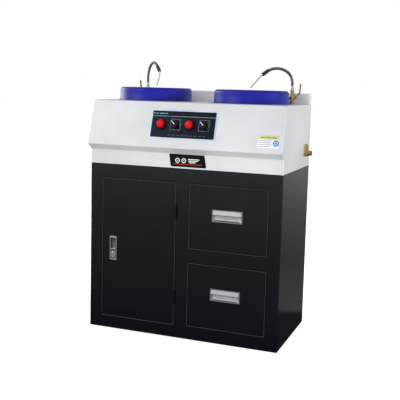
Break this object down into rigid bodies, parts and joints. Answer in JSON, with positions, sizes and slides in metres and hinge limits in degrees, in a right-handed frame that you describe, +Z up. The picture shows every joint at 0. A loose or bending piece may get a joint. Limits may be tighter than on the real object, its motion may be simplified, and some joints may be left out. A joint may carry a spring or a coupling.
{
  "type": "twin-disc wet grinding and polishing machine on a storage cabinet",
  "caption": "Floor-standing wet grinding and polishing machine: powered wheels in splash rings with swivelling water spouts, push buttons and speed knobs over a cabinet with a door and drawers.",
  "frame": {"origin": "on the floor under the centre of the cabinet's footprint", "axes": "+Z up; the front with the controls, door and drawers faces -Y; +X is the right-hand side for someone facing the front"},
  "size_m": [0.83, 0.4862, 1.0979],
  "materials": {
    "cabinet_paint": "satin powder coat",
    "housing_paint": "semi-gloss powder coat",
    "drawer_paint": "satin powder coat",
    "zinc_steel": "zinc plated",
    "pull_metal": "satin chrome",
    "panel_film": "satin printed film",
    "badge_enamel": "gloss enamel",
    "label_film": "printed film",
    "red_plastic": "moulded gloss",
    "black_plastic": "moulded satin",
    "ring_plastic": "moulded gloss, royal blue",
    "basin_plastic": "moulded gloss, off-white",
    "cast_aluminium": "cast and machined",
    "cloth": "short-nap polishing cloth",
    "motor_paint": "cast finish, blue-grey enamel",
    "shaft_steel": "ground",
    "frame_steel": "primer",
    "lamination": "varnished",
    "brass": "machined",
    "copper_pipe": "drawn copper",
    "lever_grip": "dipped vinyl, dull red",
    "hose_metal": "dark nickel, ribbed",
    "nozzle_metal": "bright",
    "drain_plastic": "flexible PVC"
  },
  "bodies": {
    "cabinet": {"base_pan": "cabinet_paint", "side_panel_left": "cabinet_paint", "side_panel_right": "cabinet_paint", "back_panel": "cabinet_paint", "face_frame": "cabinet_paint", "centre_partition": "cabinet_paint", "cabinet_top": "cabinet_paint", "drawer_rails_fixed": "zinc_steel", "hinge_fixed_leaves": "cabinet_paint", "housing_shell": "housing_paint", "splashback": "housing_paint", "control_panel": "panel_film", "badge_plate": "badge_enamel", "info_label": "label_film", "switch_plates": "black_plastic", "switch_bodies": "black_plastic", "button_bodies": "black_plastic", "basin_left": "basin_plastic", "basin_right": "basin_plastic", "splash_ring_left": "ring_plastic", "splash_ring_right": "ring_plastic", "motor_frame": "frame_steel", "motor_housing_left": "motor_paint", "motor_housing_right": "motor_paint", "motor_stators": "lamination", "motor_bearings": "shaft_steel", "motor_fan_covers": "frame_steel", "terminal_boxes": "motor_paint", "drain_pipes": "drain_plastic", "water_pipes": "copper_pipe", "inlet_elbow": "brass", "valve_bodies": "brass", "cable_gland": "black_plastic", "fasteners": "zinc_steel"},
    "left_wheel": {"motor_rotor_left": "shaft_steel", "grinding_disc_left": "cast_aluminium", "polishing_cloth_left": "cloth"},
    "right_wheel": {"motor_rotor_right": "shaft_steel", "grinding_disc_right": "cast_aluminium", "polishing_cloth_right": "cloth"},
    "door": {"door_panel": "cabinet_paint", "door_hinge_leaves": "cabinet_paint", "door_handle_plate": "pull_metal"},
    "lock_cam": {"door_lock": "pull_metal"},
    "upper_drawer": {"upper_drawer_box": "drawer_paint", "upper_drawer_front": "cabinet_paint", "upper_drawer_pull": "pull_metal"},
    "lower_drawer": {"lower_drawer_box": "drawer_paint", "lower_drawer_front": "cabinet_paint", "lower_drawer_pull": "pull_metal"},
    "left_button": {"button_head_left": "red_plastic"},
    "left_knob": {"selector_knob_left": "black_plastic"},
    "left_valve_lever": {"valve_lever_left": "lever_grip"},
    "left_spout": {"gooseneck_left": "hose_metal", "spout_nozzle_left": "nozzle_metal"},
    "right_button": {"button_head_right": "red_plastic"},
    "right_knob": {"selector_knob_right": "black_plastic"},
    "right_valve_lever": {"valve_lever_right": "lever_grip"},
    "right_spout": {"gooseneck_right": "hose_metal", "spout_nozzle_right": "nozzle_metal"}
  },
  "joints": [
    {"name": "left_wheel_spin", "type": "hinge", "parent": "cabinet", "child": "left_wheel", "pos_m": [-0.2075, -0.015, 0.9], "axis": [0, 0, 1], "continuous": true},
    {"name": "left_button_press", "type": "slide", "parent": "cabinet", "child": "left_button", "axis": [0, 0.9563, -0.2924], "range_m": [0, 0.005], "stiffness_N_per_m": 500, "springref_m": -0.003},
    {"name": "left_knob_turn", "type": "hinge", "parent": "cabinet", "child": "left_knob", "pos_m": [-0.0315, -0.22124, 0.84692], "axis": [0, 0.9563, -0.2924], "range_deg": [0, 90]},
    {"name": "left_valve_turn", "type": "hinge", "parent": "cabinet", "child": "left_valve_lever", "pos_m": [-0.342, 0.16, 0.96], "axis": [1, 0, 0], "range_deg": [0, 90]},
    {"name": "left_spout_swivel", "type": "hinge", "parent": "cabinet", "child": "left_spout", "pos_m": [-0.3276, 0.16, 0.99], "axis": [0, 0, 1], "range_deg": [-45, 45]},
    {"name": "right_wheel_spin", "type": "hinge", "parent": "cabinet", "child": "right_wheel", "pos_m": [0.2075, -0.015, 0.9], "axis": [0, 0, 1], "continuous": true},
    {"name": "right_button_press", "type": "slide", "parent": "cabinet", "child": "right_button", "axis": [0, 0.9563, -0.2924], "range_m": [0, 0.005], "stiffness_N_per_m": 500, "springref_m": -0.003},
    {"name": "right_knob_turn", "type": "hinge", "parent": "cabinet", "child": "right_knob", "pos_m": [0.0865, -0.22124, 0.84692], "axis": [0, 0.9563, -0.2924], "range_deg": [0, 90]},
    {"name": "right_valve_turn", "type": "hinge", "parent": "cabinet", "child": "right_valve_lever", "pos_m": [0.342, 0.16, 0.96], "axis": [1, 0, 0], "range_deg": [0, 90]},
    {"name": "right_spout_swivel", "type": "hinge", "parent": "cabinet", "child": "right_spout", "pos_m": [0.3276, 0.16, 0.99], "axis": [0, 0, 1], "range_deg": [-45, 45]},
    {"name": "door_swing", "type": "hinge", "parent": "cabinet", "child": "door", "pos_m": [-0.0245, -0.2175, 0.335], "axis": [0, 0, 1], "range_deg": [0, 95]},
    {"name": "door_lock_turn", "type": "hinge", "parent": "door", "child": "lock_cam", "pos_m": [-0.2965, -0.2, 0.308], "axis": [0, -1, 0], "range_deg": [0, 90]},
    {"name": "upper_drawer_slide", "type": "slide", "parent": "cabinet", "child": "upper_drawer", "axis": [0, -1, 0], "range_m": [0, 0.3]},
    {"name": "lower_drawer_slide", "type": "slide", "parent": "cabinet", "child": "lower_drawer", "axis": [0, -1, 0], "range_m": [0, 0.3]}
  ]
}
